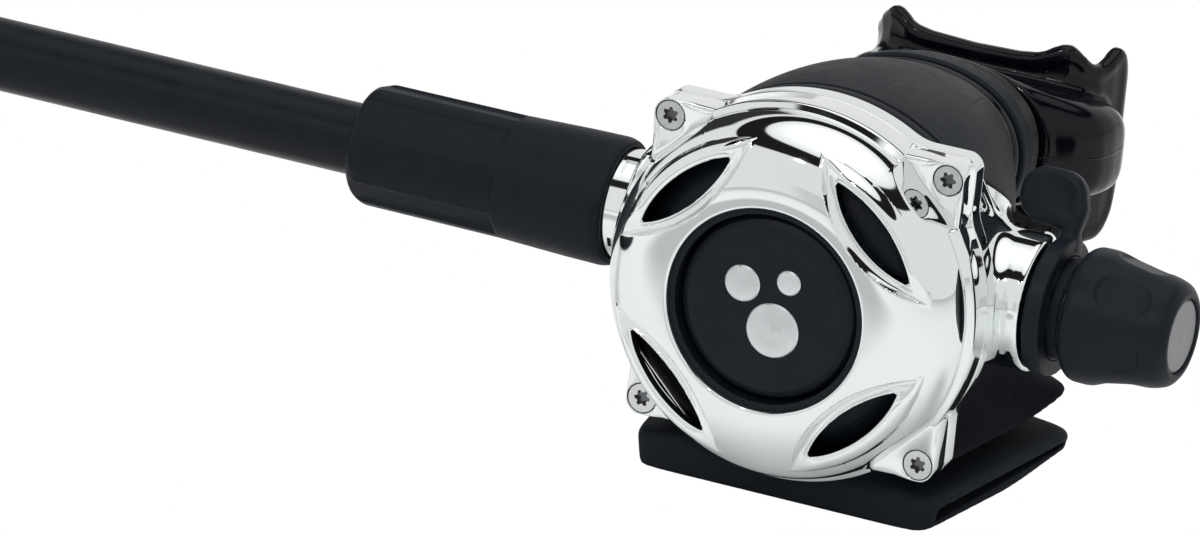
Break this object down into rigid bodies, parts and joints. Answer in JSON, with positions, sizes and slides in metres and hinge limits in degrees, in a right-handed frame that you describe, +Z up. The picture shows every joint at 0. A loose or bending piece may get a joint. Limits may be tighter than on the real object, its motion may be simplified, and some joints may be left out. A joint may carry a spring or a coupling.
{
  "type": "scuba diving second-stage regulator",
  "caption": "Diving demand valve with chrome front cover, purge button, adjustment knob, venturi lever, mouthpiece, exhaust tee and low-pressure hose.",
  "frame": {"origin": "on the rest face under the exhaust tee, straight below the axis of the valve barrel at the middle plane", "axes": "+X along the valve barrel towards the adjustment knob, +Y from the front cover towards the mouthpiece, +Z up"},
  "size_m": [0.3866, 0.1545, 0.0696],
  "materials": {
    "chrome": "bright polished chrome plating",
    "dark_plastic": "fine matte moulded nylon",
    "gloss_black": "polished black plastic",
    "rubber": "satin black rubber",
    "silicone": "glossy black silicone",
    "grey_plastic": "satin grey plastic",
    "silver": "satin silver",
    "steel": "stainless spring steel",
    "brass": "machined brass",
    "white_plastic": "natural acetal"
  },
  "bodies": {
    "root": {"front_cover": "chrome", "cover_insert": "dark_plastic", "cover_screws": "steel", "purge_spring": "steel", "diaphragm": "silicone", "case": "chrome", "body_sleeve": "dark_plastic", "gloss_ring": "gloss_black", "matte_ring": "dark_plastic", "valve_barrel": "chrome", "orifice": "brass", "orifice_o_ring": "rubber", "poppet_spring": "steel", "exhaust_valve": "silicone", "exhaust_tee": "rubber", "mouthpiece": "silicone", "mouthpiece_clamp": "gloss_black", "inlet_stem": "chrome", "stem_o_ring": "rubber", "hose_nut": "chrome", "hose_ferrule": "steel", "hose_protector": "rubber", "hose": "rubber", "hose_coil": "rubber", "far_ferrule": "steel", "far_fitting": "chrome", "far_o_ring": "rubber"},
    "button": {"purge_button": "dark_plastic", "button_inlay": "silver", "button_clip": "steel"},
    "plate": {"diaphragm_plate": "grey_plastic"},
    "lever": {"demand_lever": "steel"},
    "poppet_body": {"poppet": "white_plastic", "poppet_seat": "rubber"},
    "adjuster": {"spring_pad": "brass"},
    "knob": {"adjustment_knob": "dark_plastic", "knob_disc": "grey_plastic", "adjusting_screw": "chrome", "screw_o_ring": "rubber"},
    "venturi": {"venturi_lever": "dark_plastic", "venturi_sleeve": "dark_plastic"}
  },
  "joints": [
    {"name": "purge_press", "type": "slide", "parent": "root", "child": "button", "axis": [0, 1, 0], "range_m": [0, 0.004], "stiffness_N_per_m": 400, "springref_m": -0.002, "deforming": ["purge_spring"]},
    {"name": "plate_travel", "type": "slide", "parent": "root", "child": "plate", "axis": [0, 1, 0], "range_m": [0, 0.004], "deforming": ["diaphragm"]},
    {"name": "lever_tilt", "type": "hinge", "parent": "root", "child": "lever", "pos_m": [0.01, -0.0052, 0.038], "axis": [0, 0, -1], "range_deg": [0, 13.8]},
    {"name": "poppet_lift", "type": "slide", "parent": "root", "child": "poppet_body", "axis": [1, 0, 0], "range_m": [0, 0.0006], "deforming": ["poppet_spring"]},
    {"name": "adjust_advance", "type": "slide", "parent": "root", "child": "adjuster", "axis": [-1, 0, 0], "range_m": [0, 0.0015]},
    {"name": "knob_turn", "type": "hinge", "parent": "adjuster", "child": "knob", "pos_m": [0.05, 0, 0.038], "axis": [-1, 0, 0], "range_deg": [0, 540]},
    {"name": "venturi_turn", "type": "hinge", "parent": "root", "child": "venturi", "pos_m": [0.038, 0, 0.038], "axis": [1, 0, 0], "range_deg": [0, 45]}
  ],
  "couplings": [
    {"joint": "plate_travel", "follows": "purge_press", "ratio": 1},
    {"joint": "lever_tilt", "follows": "purge_press", "rad_per_m": 60},
    {"joint": "poppet_lift", "follows": "purge_press", "ratio": 0.15},
    {"joint": "knob_turn", "follows": "adjust_advance", "rad_per_m": 6283}
  ]
}
